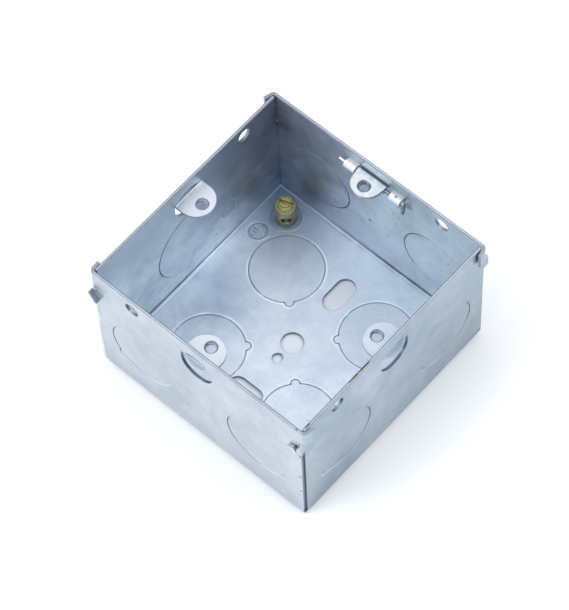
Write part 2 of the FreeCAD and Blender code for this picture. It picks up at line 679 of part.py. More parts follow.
# The sliding lug: a round-ended plate whose straight edge is rolled down round the wire.
def build_adjustable_lug():
    body = new_body("adjustable_lug")
    middle = dim.slider_offset
    half_eye = dim.slider_radius + dim.eye_overhang
    round_y = slider_hole_along - dim.lug_beyond_hole + dim.slider_radius
    under = slider_top - dim.slider_thickness
    plate = new_sketch(body, "slider_plate", "XY_Plane", under)
    draw_round_ended(plate, middle, round_y, rod_y, dim.slider_radius)
    add_pad(body, "slider_plate_pad", plate, dim.slider_thickness)
    collar = new_sketch(body, "slider_collar", "XY_Plane", under - dim.collar_height)
    draw_circle(collar, middle, slider_hole_along, dim.lug_hole_radius + dim.collar_wall)
    add_pad(body, "slider_collar_pad", collar, dim.collar_height + dim.slider_thickness / 2)
    roll = new_sketch(body, "slider_roll", "YZ_Plane", middle)
    draw_circle(roll, rod_y, rod_z, eye_half)
    add_pad(body, "slider_roll_pad", roll, half_eye * 2, midplane=True)
    flats = new_sketch(body, "slider_flats", "YZ_Plane", middle)
    draw_rectangle(flats, (rod_y - eye_half * 0.5, rod_y + eye_half), (rod_z, slider_top))
    flat_pad = add_pad(body, "slider_flats_pad", flats, half_eye * 2, midplane=True)
    doc.recompute()
    back = (rod_y + eye_half).number
    crest = slider_top.number
    corner = body.newObject("PartDesign::Fillet", "slider_corner")
    corner.Base = (flat_pad, edges_where(flat_pad.Shape, lambda point: abs(point.y - back) < 0.001
                                         and abs(point.z - crest) < 0.001))
    bind(corner, "Radius", dim.eye_corner)
    bore = new_sketch(body, "slider_bore", "YZ_Plane", middle)
    draw_circle(bore, rod_y, rod_z, eye_bore)
    add_pocket(body, "slider_bore_pocket", bore, half_eye * 2 + CUT_MARGIN, midplane=True)
    drill = new_sketch(body, "slider_drill", "XY_Plane", slider_top)
    draw_circle(drill, middle, slider_hole_along, dim.lug_hole_radius)
    drill_depth = dim.slider_thickness + dim.collar_height + CUT_MARGIN
    drill_pocket = add_pocket(body, "slider_drill_pocket", drill, drill_depth)
    doc.recompute()
    chamfer = body.newObject("PartDesign::Chamfer", "slider_chamfer")
    centre = Vector(middle.number, slider_hole_along.number, crest)
    radius = dim.lug_hole_radius.number
    chamfer.Base = (drill_pocket, edges_where(drill_pocket.Shape, lambda point: abs(point.z - crest) < 0.001
                                              and abs(point.distanceToPoint(centre) - radius) < 0.001))
    bind(chamfer, "Size", dim.lug_hole_chamfer)
    return body


# The wire: straight through both loops, then bent down past the +X one. It is drawn on its own axis.
def build_lug_rod():
    body = new_body("lug_rod")
    left = -loop_outer_end - dim.rod_stub
    bend_x = loop_outer_end + dim.loop_clearance * 5
    leg_x = bend_x + dim.rod_bend
    leg_z = -dim.rod_bend
    leg_end = leg_z - dim.rod_leg
    path = new_sketch(body, "rod_path", "XZ_Plane")
    along = path.addGeometry(Part.LineSegment(Vector(left.number, 0, 0), Vector(bend_x.number, 0, 0)))
    whole = Part.Circle(Vector(bend_x.number, leg_z.number, 0), Vector(0, 0, 1), dim.rod_bend.number)
    arc = path.addGeometry(Part.ArcOfCircle(whole, 0, math.pi / 2))
    leg = path.addGeometry(Part.LineSegment(Vector(leg_x.number, leg_z.number, 0),
                                            Vector(leg_x.number, leg_end.number, 0)))
    path.addConstraint(Sketcher.Constraint("Coincident", along, 2, arc, 2))
    path.addConstraint(Sketcher.Constraint("Coincident", leg, 1, arc, 1))
    pin_point(path, along, 1, left, 0)
    pin_point(path, arc, 3, bend_x, leg_z)
    pin_point(path, along, 2, bend_x, 0)
    pin_point(path, leg, 2, leg_x, leg_end)
    path.addConstraint(Sketcher.Constraint("Horizontal", arc, 3, arc, 1))
    section = new_sketch(body, "rod_section", "YZ_Plane", left)
    draw_circle(section, 0, 0, dim.rod_radius)
    pipe = body.newObject("PartDesign::AdditivePipe", "rod_pipe")
    pipe.Profile = section
    pipe.Spine = (path, [])
    place(body, (0, rod_y, rod_z), Rotation(Vector(1, 0, 0), dim.rod_lean.number))
    return body


def stand_on_seat(body, turn):
    """Put a body of the terminal on its seat, turned about its own axis."""
    place(body, (terminal_x, terminal_y, terminal_seat), Rotation(Vector(0, 0, 1), turn))


# The terminal pillar, turned from brass, with a riveted tail through the back.
def build_terminal_pillar():
    body = new_body("earth_terminal_pillar")
    radius, edge = dim.pillar_radius, dim.pillar_chamfer
    bore = dim.screw_radius + dim.screw_clearance
    bore_depth = dim.pillar_height - dim.wire_hole_height
    tail_end = -dim.sheet
    profile = new_sketch(body, "pillar_profile", "XZ_Plane")
    draw_polygon(profile, (
        (0, tail_end - dim.rivet_thickness),
        (dim.rivet_radius, tail_end - dim.rivet_thickness),
        (dim.rivet_radius, tail_end),
        (dim.tail_radius, tail_end),
        (dim.tail_radius, 0),
        (radius - edge, 0),
        (radius, edge),
        (radius, dim.pillar_height - edge),
        (radius - edge, dim.pillar_height),
        (bore, dim.pillar_height),
        (bore, dim.pillar_height - bore_depth),
        (0, dim.pillar_height - bore_depth),
    ))
    add_turned(body, "pillar_turned", profile)
    wire_hole = new_sketch(body, "wire_hole", "YZ_Plane")
    draw_circle(wire_hole, 0, dim.wire_hole_height, dim.wire_hole_radius)
    add_pocket(body, "wire_hole_pocket", wire_hole, radius * 2 + CUT_MARGIN, midplane=True)
    stand_on_seat(body, dim.terminal_turn.number)
    return body


# The terminal screw, standing half undone in the pillar as it does on a new box.
def build_terminal_screw():
    body = new_body("earth_terminal_screw")
    head_low = dim.pillar_height + dim.screw_raise
    head_high = head_low + dim.head_height
    shank_end = dim.pillar_height - dim.screw_bite
    edge = dim.head_chamfer
    profile = new_sketch(body, "screw_profile", "XZ_Plane")
    draw_polygon(profile, (
        (0, shank_end),
        (dim.screw_radius - edge, shank_end),
        (dim.screw_radius, shank_end + edge),
        (dim.screw_radius, head_low),
        (dim.head_radius, head_low),
        (dim.head_radius, head_high - edge),
        (dim.head_radius - edge, head_high),
        (0, head_high),
    ))
    add_turned(body, "screw_turned", profile)
    slot = new_sketch(body, "driver_slot", "XY_Plane", head_high)
    half_slot = dim.driver_slot_width / 2
    reach = dim.head_radius + CUT_MARGIN / 2
    draw_rectangle(slot, (-reach, reach), (-half_slot, half_slot))
    add_pocket(body, "driver_slot_pocket", slot, dim.driver_slot_depth)
    stand_on_seat(body, dim.terminal_turn.number + dim.driver_slot_turn.number)
    return body


def check_and_export(sub_parts):
    """Stop on any failed feature or broken solid, then write one STEP file for each sub-part."""
    doc.recompute()
    for feature in doc.Objects:
        if "Invalid" in feature.State or "Error" in feature.State:
            raise RuntimeError(f"{feature.Name} failed: {feature.State}")
    for sub_part in sub_parts:
        shape = sub_part.Shape
        if shape.isNull() or not shape.isValid():
            raise RuntimeError(f"{sub_part.Label} has no valid shape")
        print(sub_part.Label, "solids", len(shape.Solids), "volume", round(shape.Volume, 2))
        shape.exportStep(f"parts/{sub_part.Label}.step")


check_and_export([
    build_box_body(),
    build_adjustable_lug(),
    build_lug_rod(),
    build_terminal_pillar(),
    build_terminal_screw(),
])
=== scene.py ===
import bmesh
import bpy
import math
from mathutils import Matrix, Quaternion, Vector


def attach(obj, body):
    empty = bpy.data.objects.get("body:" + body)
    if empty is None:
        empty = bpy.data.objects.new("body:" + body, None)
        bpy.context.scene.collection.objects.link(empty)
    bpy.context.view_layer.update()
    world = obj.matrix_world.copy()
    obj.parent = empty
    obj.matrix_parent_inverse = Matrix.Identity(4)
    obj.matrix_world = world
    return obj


# Looks of the flush back box: galvanised sheet, a zinc plated sliding lug and a brass earth terminal.
# Lengths are metres, in the part's own frame.

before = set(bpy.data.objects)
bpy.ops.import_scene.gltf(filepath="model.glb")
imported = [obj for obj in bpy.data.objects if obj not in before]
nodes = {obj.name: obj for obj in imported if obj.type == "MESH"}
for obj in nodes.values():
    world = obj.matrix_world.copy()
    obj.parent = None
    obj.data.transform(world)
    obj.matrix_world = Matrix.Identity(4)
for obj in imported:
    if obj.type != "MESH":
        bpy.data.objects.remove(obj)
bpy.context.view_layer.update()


# Driving sizes of the part that the looks follow
HALF = 0.036
SHEET = 0.0009
DEPTH = 0.047
INNER = HALF - SHEET
KNOCKOUT_RADIUS = 0.0105
NOTCH_RADIUS = 0.0013
BACK_KNOCKOUT_ALONG = 0.0162
WALL_KNOCKOUT_ALONG = HALF - 0.0158
WALL_KNOCKOUT_HEIGHT = 0.0205
LARGE_RADIUS = 0.0132
LARGE_HEIGHT = 0.0186
LUG_TOP = 0.0417
LUG_HOLE_ALONG = 0.03015
LUG_HOLE_RADIUS = 0.00155
TERMINAL = (-0.0270, 0.0282)
BOSS_RADIUS = 0.0046
DRIVER_SLOT_TURN = math.radians(20.0)
LOOP_ENDS = (0.0060, 0.0096)
LOOP_HEIGHT = 0.04215
SLIDER_HOLE = (-0.00085, 0.0310)
SLIDER_THREAD = (0.0415, 0.0426)
PILLAR_TOP = 0.0077
SCREW_TOP = 0.0092
DIAGONAL = math.sqrt(0.5)
N_FOOT = (-INNER, INNER, SHEET)

# Sizes of what only the looks have
THIN = 0.0001
MARK = (-0.0300, 0.0200)
WALL_MARK = (0.0142, 0.0150)
MARK_RADIUS = 0.00285
MARK_LINE = 0.0005
MARK_FOOT = SHEET - 0.00002
MARK_TOP = SHEET + 0.00018
THREAD_PITCH = 0.0006
THREAD_DEPTH = 0.00022
THREAD_STEPS = 28
SHEAR_HALF = 0.00013
SHEAR_STEPS = 120
RING_STEPS = 48

# Colours of the zinc, and of the light and shade painted on it
DARK_ZINC = (0.35, 0.425, 0.53, 1)
PALE_ZINC = (0.63, 0.70, 0.78, 1)
PALER_ZINC = (0.78, 0.85, 0.93, 1)
# Painted reflected light, brighter and bluer, for the back's far corner
FAR_CORNER_LIGHT = (0.60, 0.72, 0.95, 1)
MILKY_ZINC = (0.74, 0.80, 0.80, 1)
# Painted light and shade: each face's tone under the light that falls on it
PLUS_X_SHADE_TINT = (0.31, 0.39, 0.44, 1)
MINUS_Y_LIGHT_TINT = (0.48, 0.51, 0.53, 1)
PLUS_Y_SHADE_TINT = (0.37, 0.47, 0.49, 1)
MINUS_X_SHADE_TINT = (0.36, 0.44, 0.46, 1)
# Paler lugs: partly their duller finish, partly painted light
LUG_FINISH_AND_LIGHT = (0.65, 0.66, 0.705, 1)
# Painted highlight on the round loops
LOOP_HIGHLIGHT = (0.74, 0.745, 0.75, 1)
# Painted shade on the W tongue
TONGUE_SHADE = (0.12, 0.17, 0.26, 1)
# Painted light: highlights on edges and lines, and light showing through gaps
PAINTED_LIGHT = (0.80, 0.91, 1.0, 1)
RIM = (0.42, 0.41, 0.47, 1)

# Colours of shade and dirt
SHADE = (0.12, 0.15, 0.20, 1)
SPECK = (0.10, 0.13, 0.20, 1)
SCUFF = (0.20, 0.24, 0.28, 1)
# Painted shade for the far corner
CORNER_SHADE = (0.16, 0.13, 0.16, 1)
GRIME = (0.085, 0.05, 0.045, 1)

# Colours of the other metals
LUG_PLATE = (0.70, 0.73, 0.77, 1)
STEEL_WIRE = (0.50, 0.51, 0.54, 1)
PILLAR_SIDE = (0.62, 0.55, 0.33, 1)
# The face colours are painted light on the upward faces
PILLAR_LIT_FACE = (0.90, 0.86, 0.62, 1)
SCREW_SIDE = (0.96, 0.78, 0.26, 1)
SCREW_LIT_FACE = (1.0, 0.93, 0.40, 1)

# Dark dots on the sheet: place and radius
DOTS = (((0.0349, -HALF, 0.0213), 0.00032),
        ((0.0350, -HALF, 0.0132), 0.00028),
        ((-0.0024, INNER, 0.0181), 0.00040),
        ((0.0343, -HALF, 0.0100), 0.00018),
        ((0.0343, -HALF, 0.0385), 0.00035),
        ((0.0330, -HALF, 0.0352), 0.00022),
        ((0.0353, -0.0350, DEPTH), 0.00030),
        ((0.0340, -0.0356, DEPTH), 0.00022),
        ((HALF, 0.0338, 0.0445), 0.00080))

# Corner tabs whose edges get painted shade
TABS = ((HALF, HALF, 0.0440), (-HALF, -HALF, 0.0420), (0.0350, -HALF, 0.0390))


# Outlines of the knockouts
def knockout_discs(middle, radius, notch_way):
    """A knockout's disc and the round notch on its edge, each as its middle and radius."""
    notch = (middle[0] + radius * DIAGONAL * notch_way[0], middle[1] + radius * DIAGONAL * notch_way[1])
    return (middle, radius), (notch, NOTCH_RADIUS)


BACK_KNOCKOUT = knockout_discs((BACK_KNOCKOUT_ALONG, BACK_KNOCKOUT_ALONG), KNOCKOUT_RADIUS, (-1, -1))
RIGHT_KNOCKOUT = knockout_discs((WALL_KNOCKOUT_ALONG, WALL_KNOCKOUT_HEIGHT), KNOCKOUT_RADIUS, (1, -1))
LEFT_KNOCKOUT = knockout_discs((-WALL_KNOCKOUT_ALONG, WALL_KNOCKOUT_HEIGHT), KNOCKOUT_RADIUS, (-1, -1))
ODD_KNOCKOUT = knockout_discs((WALL_KNOCKOUT_ALONG, WALL_KNOCKOUT_HEIGHT), KNOCKOUT_RADIUS, (-1, -1))
LARGE_KNOCKOUT = knockout_discs((0.0, LARGE_HEIGHT), LARGE_RADIUS, (1, -1))


# Helpers for node materials
class Shader:
    """A node material with short helpers for its nodes."""

    def __init__(self, name):
        self.material = bpy.data.materials.new(name)
        self.material.use_nodes = True
        self.tree = self.material.node_tree
        self.tree.nodes.clear()
        self.surface = self.node("ShaderNodeBsdfPrincipled")
        output = self.node("ShaderNodeOutputMaterial")
        self.link(self.surface.outputs["BSDF"], output.inputs["Surface"])
        self.place = self.node("ShaderNodeTexCoord").outputs["Object"]
        parts = self.node("ShaderNodeSeparateXYZ")
        self.link(self.place, parts.inputs["Vector"])
        self.x, self.y, self.z = (parts.outputs[axis] for axis in "XYZ")
        self.colour = None

    def node(self, kind, **settings):
        made = self.tree.nodes.new(kind)
        for key, value in settings.items():
            setattr(made, key, value)
        return made

    def link(self, start, end):
        self.tree.links.new(start, end)

    def feed(self, socket, value):
        """Links a socket to another one, or sets it to a constant."""
        if isinstance(value, bpy.types.NodeSocket):
            self.link(value, socket)
        else:
            socket.default_value = value

    def stretched(self, scale, turn):
        """The object's coordinates, turned and scaled along each axis."""
        mapping = self.node("ShaderNodeMapping")
        self.link(self.place, mapping.inputs["Vector"])
        mapping.inputs["Scale"].default_value = scale
        mapping.inputs["Rotation"].default_value = turn
        return mapping.outputs["Vector"]

    def noise(self, scale, detail=3.0, roughness=0.55, distortion=0.0, where=None):
        made = self.node("ShaderNodeTexNoise")
        self.link(where or self.place, made.inputs["Vector"])
        made.inputs["Scale"].default_value = scale
        made.inputs["Detail"].default_value = detail
        made.inputs["Roughness"].default_value = roughness
        made.inputs["Distortion"].default_value = distortion
        return made.outputs["Fac"]

    def cells(self, scale):
        """A random value for each crystal grain of the zinc."""
        made = self.node("ShaderNodeTexVoronoi")
        self.link(self.place, made.inputs["Vector"])
        made.inputs["Scale"].default_value = scale
        split = self.node("ShaderNodeSeparateColor")
        self.link(made.outputs["Color"], split.inputs["Color"])
        return split.outputs["Red"]

    def calculate(self, operation, first, second=0.0):
        made = self.node("ShaderNodeMath", operation=operation)
        self.feed(made.inputs[0], first)
        self.feed(made.inputs[1], second)
        return made.outputs[0]

    def chain(self, operation, values):
        result = values[0]
        for value in values[1:]:
            result = self.calculate(operation, result, value)
        return result

    def plus(self, *values):
        return self.chain("ADD", values)

    def minus(self, first, second):
        return self.calculate("SUBTRACT", first, second)

    def size(self, value):
        return self.calculate("ABSOLUTE", value)

    def both(self, *masks):
        """The masks' product: where all of them are."""
        return self.chain("MULTIPLY", masks)

    def either(self, *masks):
        """The masks' greatest value: where any of them is."""
        return self.chain("MAXIMUM", masks)

    def ramp(self, value, low_in, high_in, low_out=0.0, high_out=1.0):
        made = self.node("ShaderNodeMapRange")
        made.clamp = True
        self.feed(made.inputs["Value"], value)
        limits = (("From Min", low_in), ("From Max", high_in), ("To Min", low_out), ("To Max", high_out))
        for name, number in limits:
            made.inputs[name].default_value = number
        return made.outputs["Result"]

    def above(self, value, none, full):
        """A mask that is 0 up to one value and 1 from the other on."""
        return self.ramp(value, none, full)

    def below(self, value, full, none):
        """A mask that is 1 up to one value and 0 from the other on."""
        return self.ramp(value, full, none, 1.0, 0.0)

    def between(self, value, start, end, edge=0.0002):
        """A mask that is 1 from start to end and fades to 0 across its edges."""
        return self.both(self.above(value, start - edge, start), self.below(value, end, end + edge))

    def pick(self, mask, off, on):
        """One number where the mask is off and another where it is on."""
        return self.ramp(mask, 0.0, 1.0, off, on)

    def outside(self, mask):
        return self.pick(mask, 1.0, 0.0)

    def distance(self, first, second, centre):
        """How far the two given coordinates lie from the centre."""
        point = self.node("ShaderNodeCombineXYZ")
        self.feed(point.inputs["X"], first)
        self.feed(point.inputs["Y"], second)
        away = self.node("ShaderNodeVectorMath", operation="DISTANCE")
        self.link(point.outputs["Vector"], away.inputs[0])
        away.inputs[1].default_value = (centre[0], centre[1], 0.0)
        return away.outputs["Value"]

    def ball(self, centre, radius, edge):
        """A mask that is 1 inside a ball and fades to 0 across its edge."""
        away = self.node("ShaderNodeVectorMath", operation="DISTANCE")
        self.link(self.place, away.inputs[0])
        away.inputs[1].default_value = centre
        return self.below(away.outputs["Value"], radius, radius + edge)

    def depth_in(self, first, second, discs):
        """The signed distance to the outline of joined discs, negative inside them."""
        reach = [self.minus(self.distance(first, second, centre), radius) for centre, radius in discs]
        return self.chain("MINIMUM", reach)

    def line(self, away, offset, width):
        """A mask along the outline that the signed distance describes, moved outwards by the offset."""
        return self.below(self.size(self.minus(away, offset)), width * 0.4, width)

    def mix(self, share, first, second):
        made = self.node("ShaderNodeMix", data_type="RGBA")
        self.feed(made.inputs["Factor"], share)
        self.feed(made.inputs["A"], first)
        self.feed(made.inputs["B"], second)
        return made.outputs["Result"]

    def paint(self, colour, *masks):
        """Lays a colour over the ones before it, as far as the masks let it through."""
        self.colour = self.mix(self.both(*masks), self.colour, colour)

    def rounded(self, radius, relief, depth, quiet=None):
        """Edges softened by shading, less so where it is quiet, and a fine relief. Returns the edges."""
        bevel = self.node("ShaderNodeBevel", samples=6)
        self.feed(bevel.inputs["Radius"], radius if quiet is None else self.pick(quiet, radius, radius * 0.1))
        turned = self.node("ShaderNodeVectorMath", operation="DOT_PRODUCT")
        self.link(bevel.outputs["Normal"], turned.inputs[0])
        self.link(self.node("ShaderNodeNewGeometry").outputs["Normal"], turned.inputs[1])
        bump = self.node("ShaderNodeBump")
        bump.inputs["Strength"].default_value = 1.0
        bump.inputs["Distance"].default_value = depth
        self.link(relief, bump.inputs["Height"])
        self.link(bevel.outputs["Normal"], bump.inputs["Normal"])
        self.link(bump.outputs["Normal"], self.surface.inputs["Normal"])
        return self.ramp(turned.outputs["Value"], 0.995, 0.93)

    def finish(self, roughness, metallic=1.0):
        self.feed(self.surface.inputs["Base Color"], self.colour)
        self.feed(self.surface.inputs["Roughness"], roughness)
        self.feed(self.surface.inputs["Metallic"], metallic)
        return self.material


# The box's sheet
class BoxSheet(Shader):
    """The sheet's shader, with masks for the faces that are named more than once."""

    def __init__(self):
        super().__init__("box_sheet")
        self.inside = self.both(self.below(self.size(self.x), INNER - 0.0012, INNER - 0.001),
                                self.below(self.size(self.y), INNER - 0.0012, INNER - 0.001))
        self.back_face = self.between(self.z, SHEET - THIN, SHEET + THIN, THIN)
        self.minus_x_wall = self.below(self.x, -INNER, 2 * THIN - INNER)
        self.minus_x_inside = self.below(self.x, THIN - INNER, 2 * THIN - INNER)
        self.plus_y_inside = self.above(self.y, INNER - 2 * THIN, INNER - THIN)


def zinc_tone(sheet):
    """The zinc's colour: clouds over clouds, rolled streaks and faint grains."""
    clouds = sheet.noise(34, 5.0, 0.62, 0.9)
    patches = sheet.noise(95, 4.0, 0.6, 1.2)
    streaks = sheet.noise(1.0, 3.0, 0.6, where=sheet.stretched((45, 260, 260), (0.0, 0.0, 0.6)))
    grains = sheet.cells(520)
    share = sheet.plus(sheet.ramp(clouds, 0.36, 0.64, -0.04, 0.66),
                       sheet.ramp(patches, 0.32, 0.68, -0.16, 0.34),
                       sheet.ramp(streaks, 0.3, 0.7, -0.05, 0.13),
                       sheet.ramp(grains, 0, 1, -0.07, 0.09))
    sheet.colour = sheet.mix(share, DARK_ZINC, PALE_ZINC)
    return clouds, grains


def tint_back(sheet):
    """The back is paler over most of its face but for a darker patch by the -X wall; in the far corner it is
    painted brighter and bluer as painted reflected light.
    """
    darker_patch = sheet.ball((-0.026, -0.003, 0), 0.004, 0.014)
    sheet.paint(PALER_ZINC, sheet.back_face, sheet.outside(darker_patch), sheet.inside, 0.42)
    sheet.paint(DARK_ZINC, sheet.back_face, sheet.ball((-0.026, -0.001, 0), 0.002, 0.010), 0.5)
    sheet.paint(FAR_CORNER_LIGHT, sheet.back_face, sheet.ball((-0.031, 0.031, 0), 0.004, 0.012), 0.8)


def paint_wall_light(sheet):
    """Painted light and shade on the walls: each face tinted for the light that falls on it, with painted
    shade high on the -X wall and low towards the ends of the +X face.
    """
    x, y, z = sheet.x, sheet.y, sheet.z
    sheet.paint(DARK_ZINC, sheet.minus_x_wall, sheet.above(z, 0.022, 0.040), 0.8)
    plus_x_face = sheet.above(x, HALF - 2 * THIN, HALF - THIN)
    low_ends = sheet.both(sheet.above(sheet.size(y), 0.010, 0.024), sheet.below(z, 0.012, 0.026))
    sheet.paint(SHADE, plus_x_face, low_ends, 0.2)
    by_window = sheet.ball((HALF, -0.004, 0.038), 0.003, 0.014)
    sheet.paint(PLUS_X_SHADE_TINT, plus_x_face, sheet.pick(by_window, 1.0, 0.3), 0.5)
    minus_y_face = sheet.below(y, THIN - HALF, 2 * THIN - HALF)
    sheet.paint(MINUS_Y_LIGHT_TINT, minus_y_face, 0.5)
    plus_y_face = sheet.between(y, INNER - 2 * THIN, INNER + 2 * THIN, THIN)
    sheet.paint(PLUS_Y_SHADE_TINT, plus_y_face, sheet.above(x, -0.010, 0.015), 0.6)


def cloud_far_walls(sheet):
    """Milky patches low on the -X wall, painted shade high on that wall towards its -Y end, and painted shade
    making the middle low on the +Y wall darker.
    """
    x, y, z = sheet.x, sheet.y, sheet.z
    patchy = sheet.above(sheet.noise(70, 4.0, 0.65, 1.0), 0.32, 0.54)
    milky = sheet.both(sheet.below(y, -0.026, 0.006), sheet.below(z, 0.024, 0.038), patchy)
    sheet.paint(MILKY_ZINC, sheet.minus_x_inside, milky, 0.8)
    low_middle = sheet.both(sheet.between(x, -0.010, 0.010, 0.010), sheet.below(z, 0.010, 0.026))
    sheet.paint(DARK_ZINC, sheet.plus_y_inside, low_middle, 0.4)
    upper_end = sheet.both(sheet.ramp(y, 0.004, 0.018, 0.4, 0.0), sheet.above(z, 0.020, 0.040))
    sheet.paint(MINUS_X_SHADE_TINT, sheet.minus_x_inside, upper_end)


def dust_and_corner_shade(sheet):
    """Dark specks and scuffs, and painted shade, patchy and brownish, on both sides of the far corner."""
    specks = sheet.above(sheet.noise(1500, 2.0, 0.5), 0.68, 0.75)
    sheet.paint(SPECK, specks, sheet.ramp(sheet.x, -0.005, 0.030, 0.25, 0.8))
    scuffs = sheet.above(sheet.noise(420, 5.0, 0.7, 1.5), 0.56, 0.66)
    rubbed = sheet.both(sheet.plus_y_inside, sheet.above(sheet.x, -0.012, 0.006))
    sheet.paint(SCUFF, scuffs, sheet.pick(rubbed, 0.12, 0.5))
    corner_shade = sheet.either(sheet.ball((-0.034, 0.034, 0.036), 0.003, 0.024),
                         sheet.both(sheet.ball((-HALF, 0.022, 0.020), 0.003, 0.010), 0.4),
                         sheet.both(sheet.ball((-0.024, HALF, 0.015), 0.002, 0.012), 0.5))
    sheet.paint(CORNER_SHADE, corner_shade, sheet.ramp(sheet.noise(120, 4.0, 0.6), 0.3, 0.6, 0.35, 0.7))


def far_side(shader, first, second, discs, towards, reach=0.0035):
    """A mask for the part of the discs' outline that lies towards the given angle."""
    turn = math.radians(towards)
    moved = [((centre[0] - reach * math.cos(turn), centre[1] - reach * math.sin(turn)), radius)
             for centre, radius in discs]
    return shader.above(shader.depth_in(first, second, moved), reach * 0.5, reach * 0.95)


def knockout_lines(sheet):
    """The sheared lines: a painted highlight along the raised edge, and painted shade where the disc stands
    back.

    Returns the lines of painted highlight and the strip beside all lines. Each row below names a wall, its
    discs, the angles that its painted shade and its painted highlight face, and how strong each of the two
    is.
    """
    x, y, z = sheet.x, sheet.y, sheet.z
    near_face = 0.0004
    on_back = sheet.between(z, -0.001, SHEET + 0.0003)
    on_minus_y = sheet.below(y, -INNER, near_face - INNER)
    on_plus_y = sheet.above(y, INNER - near_face, INNER)
    on_plus_x = sheet.above(x, INNER - near_face, INNER)
    on_minus_x = sheet.below(x, -INNER, near_face - INNER)
    broken = sheet.ramp(sheet.noise(130, 2.0, 0.5), 0.40, 0.56, 0.5, 1.0)
    away_from_s = sheet.ramp(sheet.minus(y, x), -0.020, 0.030, 0.35, 1.0)
    back = sheet.depth_in(sheet.size(x), sheet.size(y), BACK_KNOCKOUT)
    pale = [sheet.both(on_back, sheet.line(back, 0.00030, 0.00055), broken, away_from_s)]
    dark = [sheet.both(on_back, sheet.line(back, -0.00012, 0.00026), sheet.ramp(y, 0.0, 0.03, 0.55, 0.2))]
    for on_wall, along, discs, dark_way, pale_way, dark_share, pale_share in (
            (on_minus_y, x, LEFT_KNOCKOUT + RIGHT_KNOCKOUT, 214, 277, 1.0, 0.9),
            (on_plus_x, y, LEFT_KNOCKOUT + ODD_KNOCKOUT, -32, -90, 1.0, 0.9),
            (on_plus_y, x, LEFT_KNOCKOUT, -5, 85, 0.8, 0.8),
            (on_plus_y, x, RIGHT_KNOCKOUT, 165, 60, 0.8, 0.3),
            (on_minus_x, y, LARGE_KNOCKOUT, 150, 60, 1.0, 0.2)):
        away = sheet.depth_in(along, z, discs)
        dark_part = far_side(sheet, along, z, discs, dark_way)
        pale_part = far_side(sheet, along, z, discs, pale_way)
        dark.append(sheet.both(on_wall, sheet.line(away, 0.0, 0.00036), dark_share, dark_part))
        pale.append(sheet.both(on_wall, sheet.line(away, 0.00012, 0.0003), broken, pale_share, pale_part))
    pale_lines = sheet.either(*pale)
    # Painted shade on the dark lines, painted highlight on the pale ones
    sheet.paint(SHADE, sheet.either(*dark), 0.85)
    sheet.paint(PAINTED_LIGHT, pale_lines, 0.9)

    all_discs = ((x, LEFT_KNOCKOUT + RIGHT_KNOCKOUT),
                 (y, LEFT_KNOCKOUT + ODD_KNOCKOUT),
                 (y, LARGE_KNOCKOUT))
    on_walls = [sheet.line(sheet.depth_in(along, z, discs), 0.0, 0.0006) for along, discs in all_discs]
    beside_walls = sheet.both(sheet.above(z, 0.0040, 0.0045), sheet.either(*on_walls))
    beside_back = sheet.both(on_back, sheet.line(back, 0.0003, 0.0005))
    return pale_lines, sheet.either(beside_back, beside_walls)


def stamped_mark(sheet, first, second, middle):
    """The outline of a shallow round stamp, with a painted highlight outside and painted shade inside."""
    away = sheet.minus(sheet.distance(first, second, middle), MARK_RADIUS)
    return sheet.line(away, 0.00030, 0.00042), sheet.line(away, -0.00022, 0.00040)


def draw_marks(sheet):
    """The mark beside the terminal and the faint one on the -X wall, in painted highlight and painted shade.
    Returns the first one's painted highlights.
    """
    pale, dark = stamped_mark(sheet, sheet.x, sheet.y, MARK)
    on_back = sheet.between(sheet.z, SHEET - THIN, SHEET + 0.00004, 0.00002)
    sheet.paint(SHADE, dark, on_back, 0.75)
    sheet.paint(PAINTED_LIGHT, pale, on_back, 0.9)
    raised = sheet.both(sheet.ball((*MARK, SHEET), MARK_RADIUS * 1.2, THIN),
                        sheet.above(sheet.z, MARK_TOP - 0.00006, MARK_TOP - 0.00002))
    sheet.paint(PAINTED_LIGHT, raised, 0.9)
    wall_pale, wall_dark = stamped_mark(sheet, sheet.y, sheet.z, WALL_MARK)
    on_wall = sheet.between(sheet.x, -INNER - 2 * THIN, 2 * THIN - INNER, THIN)
    sheet.paint(SHADE, wall_dark, on_wall, 0.35)
    sheet.paint(PAINTED_LIGHT, wall_pale, on_wall, 0.22)
    return sheet.either(pale, raised)


def cut_edges(sheet):
    """Painted shade on the edges where the sheet's thickness shows. Returns the pale roots of the +X and -Y
    lugs.
    """
    x, y, z = sheet.x, sheet.y, sheet.z
    fade = 0.00004
    walls = []
    roots = []
    for across, along in ((x, y), (y, x)):
        in_thickness = sheet.between(sheet.size(across), INNER + 2 * fade, HALF - 2 * fade, fade)
        wall = sheet.both(in_thickness, sheet.below(sheet.size(along), 0.033, 0.0331))
        walls.append(wall)
        roots.append(sheet.both(wall, sheet.below(sheet.size(along), 0.0070, 0.0072)))
    lug_roots = sheet.both(sheet.either(*roots), sheet.above(z, LUG_TOP - 0.0014, LUG_TOP - 0.0010),
                           sheet.above(sheet.minus(x, y), 0.0, 0.001))
    below_rim = sheet.below(z, DEPTH - 0.0004, DEPTH - 0.0002)
    in_walls = sheet.both(sheet.either(*walls), below_rim, sheet.outside(lug_roots))
    in_back = sheet.both(sheet.between(z, 0.00006, SHEET - 0.00006, fade), sheet.inside)
    sheet.paint(SHADE, sheet.either(in_walls, in_back), 0.72)
    return lug_roots


